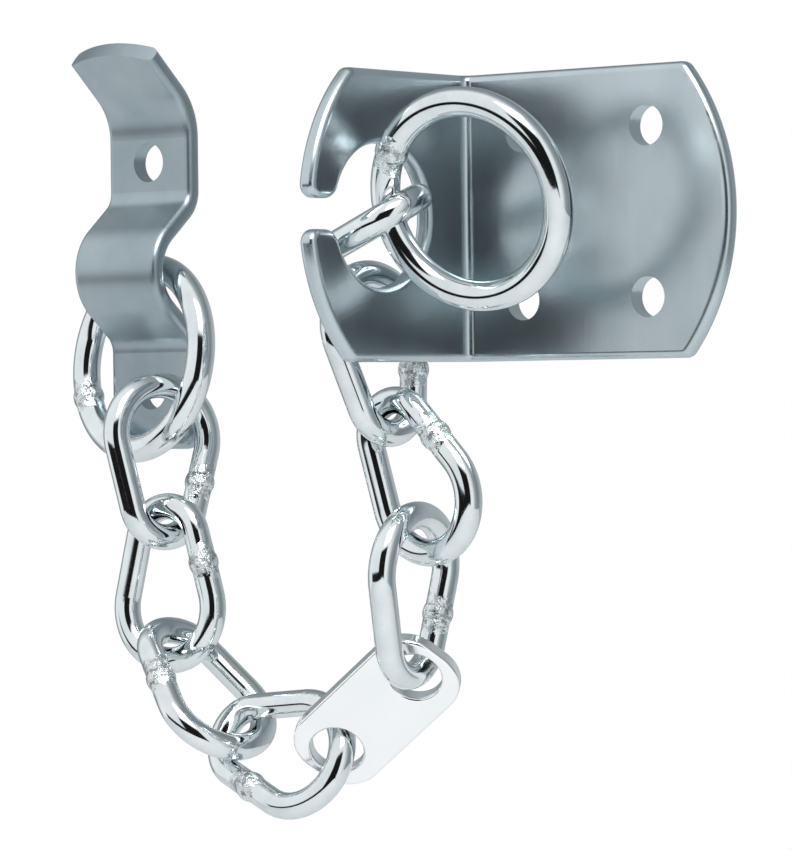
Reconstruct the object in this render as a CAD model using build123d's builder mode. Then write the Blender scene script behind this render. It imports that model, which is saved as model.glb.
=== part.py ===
# Door chain guard: hook plate, saddle bracket, two welded rings, eight welded
# pear-shaped links and a flat joining plate.
# Origin: centre of the four screw holes of the hook plate, on its back face.
# +X to the right along the door, +Y into the door, +Z up.  Millimetres.

import math
import os

from build123d import *

os.makedirs("parts", exist_ok=True)

# --- bracket stock ----------------------------------------------------------
sheet = 2.8
edge_round = 1.1               # tumbled edges of both brackets
reach = 60.0                   # taller than any bracket, for cutting right across
cut_over = 1.0                 # how far a cut starts and ends outside the sheet

# --- hook plate -------------------------------------------------------------
plate_half_height = 21.5
screw_hole_d = 6.0
hole_half_x = 11.4
hole_half_z = 12.5
flange_outer_x = -24.5
fold_inner_r = 1.2
plate_end_r = 33.3             # bowed free edge of the screw plate
plate_end_apex = 25.9
flange_end_r = 28.4            # bowed free edge of the flange
flange_end_apex = -39.5
outline_corner_r = 1.8
pocket_r = 10.6
pocket_y = -22.8
throat = 4.5
jaw_tip_r = 2.0
jaw_root_r = 2.6

# --- saddle bracket ---------------------------------------------------------
saddle_x = -86.0
saddle_w = 17.4
saddle_bottom_z = -34.4
saddle_hole_d = 6.2
saddle_hole_top_z = 11.1
saddle_hole_bottom_z = -25.0
arch_z = -6.3                  # height of the middle of the bridge
arch_rise = 8.6
arch_base_r = 4.5              # bend radii along the middle of the sheet
arch_top_r = 7.5
arch_slope = 50.0
curl_start_z = 14.8
curl_r = 9.6
curl_angle = 48.0
curl_tail = 9.9
tip_bow_r = 21.0
saddle_corner_r = 2.5

# --- rings ------------------------------------------------------------------
ring_r = 14.4                  # to the middle of the wire
ring_wire = 4.4
saddle_ring_centre = Vector(-85.0, -5.7, -20.0)
saddle_ring_turn = -9.6
saddle_ring_lean = 8.0
saddle_ring_weld = 205.0
pull_ring_centre = Vector(-6.0, -22.0, 1.8)
pull_ring_turn = 7.2
pull_ring_lean = -14.5
pull_ring_weld = 148.0

# --- links ------------------------------------------------------------------
link_wire = 4.1
link_length = 24.0             # between the two ends, along the wire middle
narrow_r = 5.6
wide_r = 8.2
end_link_length = 18.0         # the link through the pocket is a shorter one
end_link_wide_r = 6.4
end_link_tip = Vector(-15.5, -23.9, 1.9)
end_link_toward = Vector(-37.7, -23.0, -7.2)
end_link_spread = Vector(0.09, -0.94, -0.31)

# --- welds --------------------------------------------------------------------
weld_swell = 0.28              # how far a weld stands proud of the wire
weld_half = 1.7                # half its length along the wire
weld_sink = 0.35               # how deep its two ends lie inside the wire

# --- joining plate ----------------------------------------------------------
strap_length = 30.0
strap_width = 14.4
strap_t = 2.5
strap_corner_r = 5.8
strap_edge_r = 0.5
strap_hole_d = 8.0
strap_pitch = 19.0
strap_centre = Vector(-32.7, -12.3, -73.5)
strap_axis = Vector(0.80, 0.00, 0.60)
strap_normal = Vector(0.40, -0.74, -0.53)


# --- hook plate: screw plate and flange folded from one sheet ----------------
flange_inner_x = flange_outer_x + sheet
with BuildPart() as hook_plate:
    with BuildSketch(Plane.XY.offset(-plate_half_height)):
        with BuildLine():
            Polyline(
                (plate_end_apex, 0),
                (flange_outer_x, 0),
                (flange_outer_x, flange_end_apex),
                (flange_inner_x, flange_end_apex),
                (flange_inner_x, -sheet),
                (plate_end_apex, -sheet),
                close=True,
            )
        make_face()
    extrude(amount=2 * plate_half_height)
    upright = hook_plate.edges().filter_by(Axis.Z)
    inside_corner = upright.sort_by_distance((flange_inner_x, -sheet, 0))[0]
    fillet(inside_corner, fold_inner_r)
    upright = hook_plate.edges().filter_by(Axis.Z)
    outside_corner = upright.sort_by_distance((flange_outer_x, 0, 0))[0]
    fillet(outside_corner, fold_inner_r + sheet)
    # bowed end of the screw plate
    with BuildSketch(Plane.XZ.offset(-cut_over)):
        with Locations((plate_end_apex, 0)):
            Rectangle(plate_end_r, reach)
        with Locations((plate_end_apex - plate_end_r, 0)):
            Circle(plate_end_r, mode=Mode.SUBTRACT)
    extrude(amount=sheet + 2 * cut_over, mode=Mode.SUBTRACT)
    # bowed end of the flange
    with BuildSketch(Plane.YZ.offset(flange_outer_x - cut_over)):
        with Locations((flange_end_apex, 0)):
            Rectangle(flange_end_r, reach)
        with Locations((flange_end_apex + flange_end_r, 0)):
            Circle(flange_end_r, mode=Mode.SUBTRACT)
    extrude(amount=sheet + 2 * cut_over, mode=Mode.SUBTRACT)
    # round pocket with its throat through the flange end
    with BuildSketch(Plane.YZ.offset(flange_outer_x - cut_over)):
        with Locations((pocket_y, 0)):
            Circle(pocket_r)
        with Locations((flange_end_apex + pocket_r / 2, 0)):
            Rectangle(2 * pocket_r, throat)
    extrude(amount=sheet + 2 * cut_over, mode=Mode.SUBTRACT)
    # four screw holes
    with BuildSketch(Plane.XZ.offset(-cut_over)):
        with GridLocations(2 * hole_half_x, 2 * hole_half_z, 2, 2):
            Circle(screw_hole_d / 2)
    extrude(amount=sheet + 2 * cut_over, mode=Mode.SUBTRACT)
    # rounded corners of the outline and of the jaws
    plate_corners = hook_plate.edges().filter_by(Axis.Y).group_by(Axis.X)[-1]
    fillet(plate_corners, outline_corner_r)
    flange_corners = [
        edge
        for edge in hook_plate.edges().filter_by(Axis.X)
        if edge.length < sheet * 1.01 and abs(edge.center().Z) > plate_half_height - cut_over
    ]
    fillet(flange_corners, outline_corner_r)
    jaw_corners = [
        edge
        for edge in hook_plate.edges().filter_by(Axis.X)
        if edge.length < sheet * 1.01 and abs(edge.center().Z) < throat
    ]
    jaw_corners = ShapeList(jaw_corners).sort_by(Axis.Y)
    fillet(jaw_corners[:2], jaw_tip_r)
    jaw_roots = [
        edge
        for edge in hook_plate.edges().filter_by(Axis.X)
        if edge.length < sheet * 1.01
        and abs(abs(edge.center().Z) - throat / 2) < 0.01
        and edge.center().Y > pocket_y - pocket_r
    ]
    fillet(jaw_roots, jaw_root_r)
    # tumbled edges all round both faces, screw holes left crisp
    outline = [
        edge
        for edge in hook_plate.edges()
        if abs(edge.tangent_at(0).Z) < 0.999 or edge.geom_type != GeomType.LINE
    ]
    outline = [
        edge
        for edge in outline
        if edge.length > sheet * 1.01 or edge.geom_type != GeomType.LINE
    ]
    outline = [
        edge
        for edge in outline
        if edge.geom_type != GeomType.CIRCLE or abs(edge.radius - screw_hole_d / 2) > 0.01
    ]
    fillet(outline, edge_round)
hook_plate.part.label = "hook_plate"


# --- saddle bracket: one strip bent over the ring, upper end curled out ------
slope = math.radians(arch_slope)
mid_y = -sheet / 2
arch_run = arch_base_r + arch_top_r
flank = (arch_rise - arch_run * (1 - math.cos(slope))) / math.sin(slope)
arch_half = arch_run * math.sin(slope) + flank * math.cos(slope)
with BuildPart() as saddle_bracket:
    with BuildLine(Plane.YZ.offset(saddle_x)):
        lower_flat = Line((mid_y, saddle_bottom_z), (mid_y, arch_z - arch_half))
        lower_base = JernArc(lower_flat @ 1, lower_flat % 1, arch_base_r, arch_slope)
        lower_flank = Line(lower_base @ 1, lower_base @ 1 + (lower_base % 1) * flank)
        crown = JernArc(lower_flank @ 1, lower_flank % 1, arch_top_r, -2 * arch_slope)
        upper_flank = Line(crown @ 1, crown @ 1 + (crown % 1) * flank)
        upper_base = JernArc(upper_flank @ 1, upper_flank % 1, arch_base_r, arch_slope)
        upper_flat = Line(upper_base @ 1, (mid_y, curl_start_z))
        curl = JernArc(upper_flat @ 1, upper_flat % 1, curl_r, curl_angle)
        tail = Line(curl @ 1, curl @ 1 + (curl % 1) * curl_tail)
    with BuildSketch(Plane(origin=(saddle_x, mid_y, saddle_bottom_z), z_dir=(0, 0, 1))):
        Rectangle(saddle_w, sheet)
    sweep()
    # bowed upper tip, cut square to the turned-out end
    tip_plane = Plane(origin=tail @ 1, x_dir=(1, 0, 0), z_dir=(tail % 1).cross(Vector(-1, 0, 0)))
    with BuildSketch(tip_plane.offset(-sheet)):
        with Locations((0, 0)):
            Rectangle(2 * saddle_w, tip_bow_r)
        with Locations((0, -tip_bow_r)):
            Circle(tip_bow_r, mode=Mode.SUBTRACT)
    extrude(amount=2 * sheet, mode=Mode.SUBTRACT)
    # screw holes
    with BuildSketch(Plane.XZ.offset(-cut_over)):
        with Locations((saddle_x, saddle_hole_top_z), (saddle_x, saddle_hole_bottom_z)):
            Circle(saddle_hole_d / 2)
    extrude(amount=sheet + 2 * cut_over, mode=Mode.SUBTRACT)
    lower_corners = saddle_bracket.edges().filter_by(Axis.Y).group_by(Axis.Z)[0]
    fillet(lower_corners, saddle_corner_r)
    strip_edges = [
        edge
        for edge in saddle_bracket.edges()
        if abs(edge.center().X - saddle_x) > saddle_w / 2 - saddle_corner_r
        and edge.length > sheet * 1.01
        and abs(edge.tangent_at(0.5).X) < 0.9
    ]
    fillet(strip_edges, edge_round)
saddle_bracket.part.label = "saddle_bracket"


# --- welded rings -------------------------------------------------------------
def ring_plane(centre, turn, lean):
    """Plane of a ring: x across, y up the ring, turned about Z then leaned."""
    across = Vector(1, 0, 0).rotate(Axis.Z, turn)
    upward = Vector(0, 0, 1).rotate(Axis((0, 0, 0), tuple(across)), -lean)
    return Plane(origin=centre, x_dir=across, z_dir=across.cross(upward))


def weld_outline(wire):
    """Three points of the barrel outline of a weld, in a plane through the wire."""
    low = wire / 2 - weld_sink
    return (-weld_half, low), (0, wire / 2 + weld_swell), (weld_half, low)


def welded_ring(centre, turn, lean, weld):
    """Round ring of round wire with a small weld swelling."""
    plane = ring_plane(centre, turn, lean)
    with BuildPart() as ring:
        with BuildLine(plane):
            loop = CenterArc((0, 0), ring_r, 0, 360)
        with BuildSketch(Plane(origin=loop @ 0, z_dir=loop % 0)):
            Circle(ring_wire / 2)
        sweep()
        at = weld / 360
        with BuildSketch(Plane(origin=loop @ at, x_dir=loop % at, z_dir=plane.z_dir)):
            with BuildLine():
                swell = ThreePointArc(*weld_outline(ring_wire))
                Polyline(swell @ 1, (weld_half, 0), (-weld_half, 0), swell @ 0)
            make_face()
        revolve(axis=Axis(loop @ at, loop % at))
    return ring


saddle_ring = welded_ring(
    saddle_ring_centre, saddle_ring_turn, saddle_ring_lean, saddle_ring_weld
)
saddle_ring.part.label = "saddle_ring"
pull_ring = welded_ring(pull_ring_centre, pull_ring_turn, pull_ring_lean, pull_ring_weld)
pull_ring.part.label = "pull_ring"


# --- pear-shaped chain links ----------------------------------------------------
def pear_link(tip, toward, spread, weld_side, length=link_length, big_r=wide_r):
    """Pear link: narrow end at tip, wide end toward a point, legs spread to both sides."""
    axis = (toward - tip).normalized()
    plane = Plane(origin=tip, x_dir=axis, z_dir=axis.cross(spread))
    taper = math.asin((big_r - narrow_r) / (length - big_r - narrow_r))
    taper_deg = math.degrees(taper)
    wide_x = length - big_r
    with BuildPart() as link:
        with BuildLine(plane):
            small_end = CenterArc(
                (narrow_r, 0), narrow_r, 90 + taper_deg, 180 - 2 * taper_deg
            )
            big_end = CenterArc((wide_x, 0), big_r, -90 - taper_deg, 180 + 2 * taper_deg)
            leg_out = Line(small_end @ 1, big_end @ 0)
            leg_back = Line(big_end @ 1, small_end @ 0)
        for stretch in (small_end, leg_out, big_end, leg_back):
            with BuildSketch(Plane(origin=stretch @ 0, z_dir=stretch % 0)):
                Circle(link_wire / 2)
            sweep(path=stretch)
        leg = leg_out if weld_side < 0 else leg_back
        with BuildSketch(Plane(origin=leg @ 0.5, x_dir=leg % 0.5, z_dir=plane.z_dir)):
            with BuildLine():
                swell = ThreePointArc(*weld_outline(link_wire))
                Polyline(swell @ 1, (weld_half, 0), (-weld_half, 0), swell @ 0)
            make_face()
        revolve(axis=Axis(leg @ 0.5, leg % 0.5))
    return link


# narrow end, point the wide end lies towards, spread of the legs, welded leg
link_places = {
    "link_1": ((-75.2, -12.3, -48.0), (-77.6, -9.7, -24.2), (-0.31, -0.95, 0.07), -1),
    "link_2": ((-75.0, -11.6, -43.2), (-73.9, -12.3, -67.2), (-0.99, -0.10, -0.04), -1),
    "link_3": ((-74.7, -12.9, -62.5), (-58.2, -13.7, -79.9), (-0.12, -0.99, -0.07), 1),
    "link_4": ((-63.2, -12.4, -78.4), (-39.5, -13.3, -81.9), (-0.15, -0.35, -0.92), 1),
    "link_5": ((-24.6, -14.5, -68.1), (-22.5, -14.9, -44.2), (0.06, -1.00, -0.02), -1),
    "link_6": ((-28.2, -15.6, -27.8), (-16.5, -14.7, -48.7), (-0.87, 0.08, -0.49), -1),
    "link_7": ((-26.3, -15.7, -32.0), (-29.8, -17.5, -8.3), (-0.11, -0.99, -0.09), -1),
}
links = {}
for name, (tip, toward, leg, weld_side) in link_places.items():
    links[name] = pear_link(Vector(*tip), Vector(*toward), Vector(*leg), weld_side)
    links[name].part.label = name
links["end_link"] = pear_link(
    end_link_tip,
    end_link_toward,
    end_link_spread,
    -1,
    end_link_length,
    end_link_wide_r,
)
links["end_link"].part.label = "end_link"


# --- flat joining plate -----------------------------------------------------------
strap_plane = Plane(origin=strap_centre, x_dir=strap_axis, z_dir=strap_normal)
with BuildPart() as joining_plate:
    with BuildSketch(strap_plane.offset(-strap_t / 2)):
        RectangleRounded(strap_length, strap_width, strap_corner_r)
        with GridLocations(strap_pitch, 0, 2, 1):
            Circle(strap_hole_d / 2, mode=Mode.SUBTRACT)
    extrude(amount=strap_t)
    fillet(joining_plate.edges().filter_by(strap_plane), strap_edge_r)
joining_plate.part.label = "joining_plate"


# --- one file per piece -------------------------------------------------------------
export_step(hook_plate.part, "parts/hook_plate.step")
export_step(saddle_bracket.part, "parts/saddle_bracket.step")
export_step(saddle_ring.part, "parts/saddle_ring.step")
export_step(pull_ring.part, "parts/pull_ring.step")
export_step(joining_plate.part, "parts/joining_plate.step")
for name, link in links.items():
    export_step(link.part, f"parts/{name}.step")
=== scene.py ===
import math
from statistics import median

import bpy
from mathutils import Matrix, Vector
from mathutils.bvhtree import BVHTree

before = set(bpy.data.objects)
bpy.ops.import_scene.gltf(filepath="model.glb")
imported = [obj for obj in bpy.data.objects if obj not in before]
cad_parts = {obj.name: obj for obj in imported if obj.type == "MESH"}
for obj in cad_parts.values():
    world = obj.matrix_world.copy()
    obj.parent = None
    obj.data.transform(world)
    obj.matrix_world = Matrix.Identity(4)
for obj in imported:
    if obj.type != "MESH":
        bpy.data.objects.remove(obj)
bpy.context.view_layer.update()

# Lengths are metres, angles degrees and powers watts. Colours are linear red, green and blue.
# A pattern is its patches to the metre, its octaves and its roughness. A relief is the
# strength and height of its bumps. Tones are the pattern values that get two colours.
WHITE = (1.0, 1.0, 1.0)
EVEN = (1.0, 1.0, 1.0)                  # a pattern that isn't stretched

# sockets of a colour mix
MIX_FACTOR = 0
MIX_FIRST = 6
MIX_SECOND = 7
MIX_RESULT = 2


# ------------------------------------------------------------- node helpers
def new_material(name, metallic):
    material = bpy.data.materials.new(name)
    material.use_nodes = True
    nt = material.node_tree
    nt.nodes.clear()
    out = nt.nodes.new("ShaderNodeOutputMaterial")
    bsdf = nt.nodes.new("ShaderNodeBsdfPrincipled")
    bsdf.inputs["Metallic"].default_value = metallic
    nt.links.new(bsdf.outputs["BSDF"], out.inputs["Surface"])
    return material, nt, bsdf


def ramp(nt, value, stops):
    """Colour by value; each stop is a value and its colour."""
    node = nt.nodes.new("ShaderNodeValToRGB")
    elements = node.color_ramp.elements
    while len(elements) < len(stops):
        elements.new(1.0)
    for element, (position, colour) in zip(elements, stops):
        element.position = position
        element.color = (*colour, 1.0)
    nt.links.new(value, node.inputs["Fac"])
    return node.outputs["Color"]


def two_tones(nt, value, tones, first, second):
    """One colour up to the first tone, another from the second, blended in between."""
    return ramp(nt, value, list(zip(tones, (first, second))))


def to_range(nt, value, lowest, highest, from_lowest=0.0, from_highest=1.0):
    node = nt.nodes.new("ShaderNodeMapRange")
    node.inputs["From Min"].default_value = from_lowest
    node.inputs["From Max"].default_value = from_highest
    node.inputs["To Min"].default_value = lowest
    node.inputs["To Max"].default_value = highest
    nt.links.new(value, node.inputs["Value"])
    return node.outputs["Result"]


def calculate(nt, operation, *values):
    """One sum on numbers or on the outputs of other nodes."""
    node = nt.nodes.new("ShaderNodeMath")
    node.operation = operation
    for socket, value in zip(node.inputs, values):
        if isinstance(value, float):
            socket.default_value = value
        else:
            nt.links.new(value, socket)
    return node.outputs["Value"]


def mix_node(nt, blend, first, second):
    """Mix of two colours, and its factor socket."""
    node = nt.nodes.new("ShaderNodeMix")
    node.data_type = "RGBA"
    node.blend_type = blend
    nt.links.new(first, node.inputs[MIX_FIRST])
    nt.links.new(second, node.inputs[MIX_SECOND])
    return node.outputs[MIX_RESULT], node.inputs[MIX_FACTOR]


def noise(nt, scale, detail, rough, stretch=EVEN):
    """Cloudy pattern fixed to the piece."""
    place = nt.nodes.new("ShaderNodeTexCoord")
    squeeze = nt.nodes.new("ShaderNodeMapping")
    squeeze.inputs["Scale"].default_value = stretch
    nt.links.new(place.outputs["Object"], squeeze.inputs["Vector"])
    node = nt.nodes.new("ShaderNodeTexNoise")
    node.inputs["Scale"].default_value = scale
    node.inputs["Detail"].default_value = detail
    node.inputs["Roughness"].default_value = rough
    nt.links.new(squeeze.outputs["Vector"], node.inputs["Vector"])
    return node.outputs["Fac"]


def bump(nt, height, strength, distance, under=None):
    """Normals of a faint relief, on top of another one if there is one under it."""
    node = nt.nodes.new("ShaderNodeBump")
    node.inputs["Strength"].default_value = strength
    node.inputs["Distance"].default_value = distance
    nt.links.new(height, node.inputs["Height"])
    if under is not None:
        nt.links.new(under, node.inputs["Normal"])
    return node.outputs["Normal"]


# ---------------------------------------------------------- bracket material
ROLLING_LINES = (1.0, 4.0, 0.6)
LINE_STRETCH = (1500.0, 1500.0, 60.0)   # fine across the sheet, long up and down
LINE_RELIEF = (0.25, 0.00003)
BRACKET_CLOUDS = (75.0, 4.0, 0.6)
CLOUD_STRETCH = (1.0, 1.0, 0.6)
BRACKET_TONES = (0.32, 0.68)
BRACKET_WAVES = (28.0, 2.0, 0.5)        # the sheet isn't quite flat
WAVE_RELIEF = (0.07, 0.0006)

HOOK_DARK = (0.49, 0.57, 0.60)
HOOK_LIGHT = (0.59, 0.66, 0.69)
HOOK_ROUGHNESS = (0.22, 0.27)
SADDLE_DARK = (0.34, 0.41, 0.45)
SADDLE_LIGHT = (0.44, 0.51, 0.54)
SADDLE_ROUGHNESS = (0.31, 0.37)


def bracket_material(name, dark, light, roughness):
    """Zinc plated rolled sheet: blue-grey, satin, with fine upright rolling lines."""
    material, nt, bsdf = new_material(name, 1.0)
    lines = noise(nt, *ROLLING_LINES, LINE_STRETCH)
    clouds = noise(nt, *BRACKET_CLOUDS, CLOUD_STRETCH)
    waves = noise(nt, *BRACKET_WAVES)
    colour = two_tones(nt, clouds, BRACKET_TONES, dark, light)
    relief = bump(nt, waves, *WAVE_RELIEF, bump(nt, lines, *LINE_RELIEF))
    nt.links.new(colour, bsdf.inputs["Base Color"])
    nt.links.new(to_range(nt, lines, *roughness), bsdf.inputs["Roughness"])
    nt.links.new(relief, bsdf.inputs["Normal"])
    return material


# ------------------------------------------------------------- wire material
WELD_CORE = 0.0013                      # all crinkle this near to a weld's middle
WELD_REACH = 0.0036                     # none this far from it
WELD_RAG = 0.0012                       # how far the edge wanders in between
WELD_WANDER = (500.0, 3.0, 0.5)
WELD_CRINKLE = (850.0, 4.0, 0.65)
CRINKLE_RELIEF = (1.0, 0.0009)
SPECK_TONES = (0.43, 0.48)
SPECK_BLACK = (0.02, 0.02, 0.02)
SPECK_BRIGHT = (0.80, 0.84, 0.85)

WIRE_CLOUDS = (260.0, 4.0, 0.6)
WIRE_TONES = (0.30, 0.70)
WIRE_DARK = (0.70, 0.75, 0.76)
WIRE_LIGHT = (0.82, 0.86, 0.87)
WIRE_RELIEF = (0.12, 0.00004)
WIRE_GRAIN = (900.0, 3.0, 0.5)
WIRE_ROUGHNESS = (0.05, 0.10)

RAY_INSET = 0.00001                     # a measuring ray starts this far inside the wire
WELD_THICKNESS = (1.08, 1.25)           # of a weld, in thicknesses of its wire


def weld_middle(mesh):
    """Middle of a wire piece's weld, the one stretch where the wire is thicker.

    A line straight in through the skin of round wire passes its middle and leaves opposite,
    so its length is the wire's thickness there.
    """
    corners = [vertex.co for vertex in mesh.vertices]
    tree = BVHTree.FromPolygons(corners, [tuple(face.vertices) for face in mesh.polygons])
    crossings = []
    for face in mesh.polygons:
        start = face.center - face.normal * RAY_INSET
        end = tree.ray_cast(start, -face.normal)[0]
        if end is not None:
            crossings.append(((end - start).length, (end + start) / 2, face.area))
    wire = median(length for length, _, _ in crossings)
    thinnest, thickest = (ratio * wire for ratio in WELD_THICKNESS)
    weighted = Vector()
    weld_area = 0.0
    for length, centre, area in crossings:
        if thinnest < length < thickest:
            weighted += centre * area
            weld_area += area
    return weighted / weld_area


def weld_mask(nt, place):
    """1 at a weld, fading to 0 along the wire, with a ragged edge."""
    here = nt.nodes.new("ShaderNodeTexCoord")
    away = nt.nodes.new("ShaderNodeVectorMath")
    away.operation = "DISTANCE"
    away.inputs[1].default_value = place
    nt.links.new(here.outputs["Object"], away.inputs[0])
    ragged = to_range(nt, noise(nt, *WELD_WANDER), -WELD_RAG, WELD_RAG)
    total = calculate(nt, "ADD", away.outputs["Value"], ragged)
    return to_range(nt, total, 1.0, 0.0, WELD_CORE, WELD_REACH)


def wire_material(name, weld_place):
    """Zinc plated wire: nearly a mirror, faintly cloudy, crinkled and specked at its weld."""
    material, nt, bsdf = new_material(name, 1.0)
    clouds = noise(nt, *WIRE_CLOUDS)
    crinkle = noise(nt, *WELD_CRINKLE)
    grain = noise(nt, *WIRE_GRAIN)
    at_weld = weld_mask(nt, weld_place)
    zinc = two_tones(nt, clouds, WIRE_TONES, WIRE_DARK, WIRE_LIGHT)
    specks = two_tones(nt, crinkle, SPECK_TONES, SPECK_BLACK, SPECK_BRIGHT)
    colour, factor = mix_node(nt, "MIX", zinc, specks)
    nt.links.new(at_weld, factor)
    crinkled = calculate(nt, "MULTIPLY", crinkle, at_weld)
    relief = bump(nt, crinkled, *CRINKLE_RELIEF, bump(nt, clouds, *WIRE_RELIEF))
    nt.links.new(colour, bsdf.inputs["Base Color"])
    nt.links.new(to_range(nt, grain, *WIRE_ROUGHNESS), bsdf.inputs["Roughness"])
    nt.links.new(relief, bsdf.inputs["Normal"])
    return material


# ------------------------------------------------------------ strap material
STRAP_CLOUDS = (140.0, 3.0, 0.5)
STRAP_TONES = (0.30, 0.70)
STRAP_DARK = (0.95, 0.97, 0.98)
STRAP_ROUGHNESS = (0.10, 0.16)
STRAP_RELIEF = (0.10, 0.0001)


def strap_material():
    """Flat bright zinc plated strip."""
    material, nt, bsdf = new_material("strap_zinc", 1.0)
    clouds = noise(nt, *STRAP_CLOUDS)
    colour = two_tones(nt, clouds, STRAP_TONES, STRAP_DARK, WHITE)
    nt.links.new(colour, bsdf.inputs["Base Color"])
    nt.links.new(to_range(nt, clouds, *STRAP_ROUGHNESS), bsdf.inputs["Roughness"])
    nt.links.new(bump(nt, clouds, *STRAP_RELIEF), bsdf.inputs["Normal"])
    return material


# ------------------------------------------------------- looks of the pieces
looks = {
    "hook_plate": bracket_material("hook_zinc", HOOK_DARK, HOOK_LIGHT, HOOK_ROUGHNESS),
    "saddle_bracket": bracket_material("saddle_zinc", SADDLE_DARK, SADDLE_LIGHT, SADDLE_ROUGHNESS),
    "joining_plate": strap_material(),
}
for name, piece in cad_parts.items():
    if name not in looks:               # every other piece is a ring or link of welded wire
        looks[name] = wire_material("wire_zinc_" + name, weld_middle(piece.data))
    piece.data.materials.clear()
    piece.data.materials.append(looks[name])


# --------------------------------------------------------------------- floor
FLOOR_CENTRE = (-0.04, 0.0, -0.30)
FLOOR_SIDE = 1.6
FLOOR_COLOUR = (0.95, 0.95, 0.95, 1.0)
FLOOR_ROUGHNESS = 0.6


def add_floor():
    """Square pale floor, well below the chain."""
    material, _, bsdf = new_material("floor", 0.0)
    bsdf.inputs["Base Color"].default_value = FLOOR_COLOUR
    bsdf.inputs["Roughness"].default_value = FLOOR_ROUGHNESS
    half = FLOOR_SIDE / 2
    corners = [(-half, -half, 0), (half, -half, 0), (half, half, 0), (-half, half, 0)]
    mesh = bpy.data.meshes.new("floor")
    mesh.from_pydata(corners, [], [(0, 1, 2, 3)])
    mesh.materials.append(material)
    floor = bpy.data.objects.new("floor", mesh)
    floor.location = FLOOR_CENTRE
    bpy.context.scene.collection.objects.link(floor)


add_floor()

# -------------------------------------------------------------------- camera
CAMERA_AZIMUTH = math.radians(39.0)
CAMERA_ELEVATION = math.radians(0.28)
CAMERA_ROLL = math.radians(-0.70)
CAMERA_DISTANCE = 0.703
CAMERA_TARGET = Vector((-0.0383, 0.0, -0.0309))
SENSOR_MM = 36.0                        # along the tall side of the picture
LENS_MM = 194.82
CAMERA_NEAREST = 0.05
CAMERA_FARTHEST = 20.0


def add_camera():
    """Long lens, off to the right of the chain and nearly level with it."""
    forward = Vector((
        -math.sin(CAMERA_AZIMUTH) * math.cos(CAMERA_ELEVATION),
        math.cos(CAMERA_AZIMUTH) * math.cos(CAMERA_ELEVATION),
        -math.sin(CAMERA_ELEVATION),
    ))
    level_right = Vector((math.cos(CAMERA_AZIMUTH), math.sin(CAMERA_AZIMUTH), 0.0))
    level_up = level_right.cross(forward)
    right = level_right * math.cos(CAMERA_ROLL) + level_up * math.sin(CAMERA_ROLL)
    up = level_up * math.cos(CAMERA_ROLL) - level_right * math.sin(CAMERA_ROLL)
    lens = bpy.data.cameras.new("camera")
    lens.sensor_fit = "VERTICAL"
    lens.sensor_height = SENSOR_MM
    lens.lens = LENS_MM
    lens.clip_start = CAMERA_NEAREST
    lens.clip_end = CAMERA_FARTHEST
    camera = bpy.data.objects.new("camera", lens)
    turn = Matrix((right, up, -forward)).transposed().to_4x4()
    camera.matrix_world = Matrix.Translation(CAMERA_TARGET - forward * CAMERA_DISTANCE) @ turn
    bpy.context.scene.collection.objects.link(camera)
    bpy.context.scene.camera = camera


add_camera()

# ---------------------------------------------------------------------- lamp
LAMP_PLACE = Vector((0.5, -0.6, 0.9))
LAMP_AIM = Vector((-0.04, 0.0, -0.03))
LAMP_SIDE = 0.6
LAMP_POWER = 8.0


def add_lamp():
    light = bpy.data.lights.new("top_right", "AREA")
    light.size = LAMP_SIDE
    light.energy = LAMP_POWER
    lamp = bpy.data.objects.new("top_right", light)
    lamp.location = LAMP_PLACE
    lamp.rotation_euler = (LAMP_AIM - LAMP_PLACE).to_track_quat("-Z", "Y").to_euler()
    bpy.context.scene.collection.objects.link(lamp)


add_lamp()

# ------------------------------------------------------------ white light tent
# Two dark panels in front of the object give the wire its black line reflections.
OPENING = {"azimuth": 34.0, "elevation": 2.0, "half_wide": 21.0, "half_high": 26.0}
LOW_BAND = {"azimuth": -6.0, "elevation": -14.0, "half_wide": 42.0, "half_high": 9.0}
PANEL_SOFT = 0.05                       # a panel is blackest this far inside its edge
PANEL_SHADES = [                        # from there to far outside the edge
    (0.00, (0.012, 0.011, 0.011)),
    (0.05, (0.03, 0.03, 0.03)),
    (0.11, WHITE),
    (1.00, WHITE),
]
# the tent's own brightness, from straight in front of the object to straight behind it
TENT_SHADES = [
    (0.00, (0.90, 0.93, 0.95)),
    (0.38, (0.98, 0.99, 1.00)),
    (0.56, (0.36, 0.40, 0.42)),
    (0.80, (0.22, 0.25, 0.27)),
    (1.00, (0.50, 0.54, 0.56)),
]


def direction_part(nt, along):
    """How far the looked-at direction goes along a fixed one."""
    looked_at = nt.nodes.new("ShaderNodeTexCoord")
    node = nt.nodes.new("ShaderNodeVectorMath")
    node.operation = "DOT_PRODUCT"
    node.inputs[1].default_value = along
    nt.links.new(looked_at.outputs["Generated"], node.inputs[0])
    return node.outputs["Value"]


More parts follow.
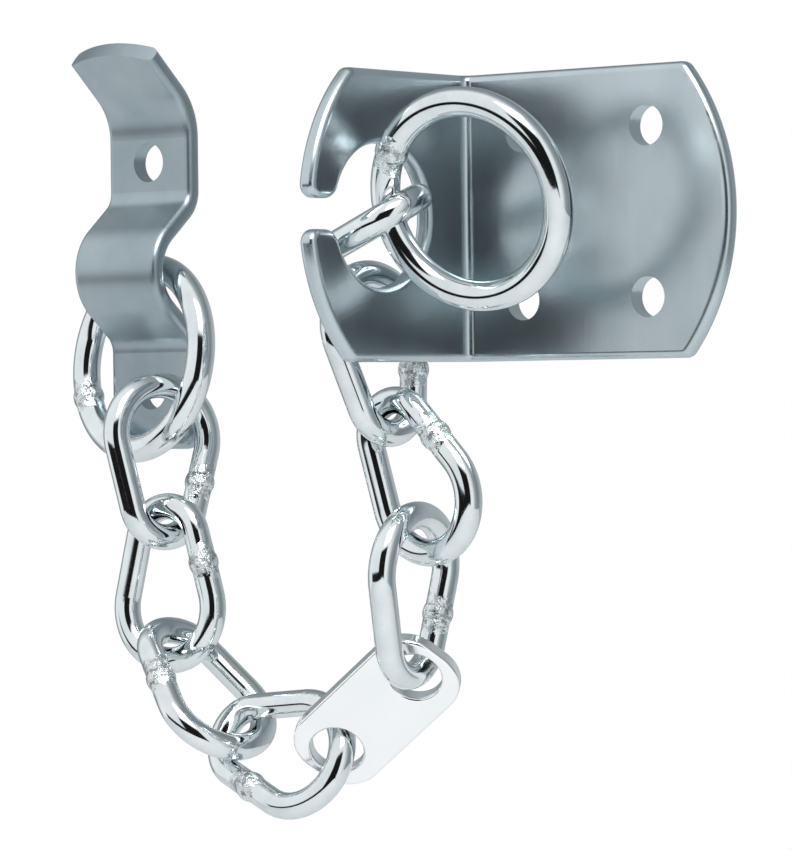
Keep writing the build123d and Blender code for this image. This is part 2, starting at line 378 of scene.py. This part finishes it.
def dark_panel(nt, azimuth, elevation, half_wide, half_high):
    """Below 0 inside a rectangular panel of the tent, above 0 outside it."""
    az = math.radians(azimuth)
    rise, wide, high = (math.tan(math.radians(a)) for a in (elevation, half_wide, half_high))
    ahead = direction_part(nt, (math.sin(az), -math.cos(az), 0.0))
    across = direction_part(nt, (math.cos(az), math.sin(az), 0.0))
    upward = direction_part(nt, (0.0, 0.0, 1.0))
    middle = calculate(nt, "MULTIPLY", ahead, rise)
    aside = calculate(nt, "ABSOLUTE", across)
    above = calculate(nt, "ABSOLUTE", calculate(nt, "SUBTRACT", upward, middle))
    past_side = calculate(nt, "SUBTRACT", aside, calculate(nt, "MULTIPLY", ahead, wide))
    past_top = calculate(nt, "SUBTRACT", above, calculate(nt, "MULTIPLY", ahead, high))
    return calculate(nt, "MAXIMUM", past_side, past_top)


def add_tent():
    """World that the camera sees as white and the object reflects as the tent."""
    world = bpy.data.worlds.new("studio")
    bpy.context.scene.world = world
    world.use_nodes = True
    nt = world.node_tree
    nt.nodes.clear()
    outside = calculate(nt, "MINIMUM", dark_panel(nt, **OPENING), dark_panel(nt, **LOW_BAND))
    panels = ramp(nt, to_range(nt, outside, 0.0, 1.0, -PANEL_SOFT, 1.0), PANEL_SHADES)
    back = direction_part(nt, (0.0, 1.0, 0.0))
    tent = ramp(nt, to_range(nt, back, 0.0, 1.0, -1.0, 1.0), TENT_SHADES)
    shade, factor = mix_node(nt, "MULTIPLY", panels, tent)
    factor.default_value = 1.0
    seen = nt.nodes.new("ShaderNodeBackground")
    seen.inputs["Color"].default_value = (*WHITE, 1.0)
    lit = nt.nodes.new("ShaderNodeBackground")
    nt.links.new(shade, lit.inputs["Color"])
    rays = nt.nodes.new("ShaderNodeLightPath")
    choice = nt.nodes.new("ShaderNodeMixShader")
    nt.links.new(rays.outputs["Is Camera Ray"], choice.inputs["Fac"])
    nt.links.new(lit.outputs["Background"], choice.inputs[1])    # for every other ray
    nt.links.new(seen.outputs["Background"], choice.inputs[2])   # for rays from the camera
    out = nt.nodes.new("ShaderNodeOutputWorld")
    nt.links.new(choice.outputs["Shader"], out.inputs["Surface"])


add_tent()
bpy.context.scene.view_settings.view_transform = "Standard"
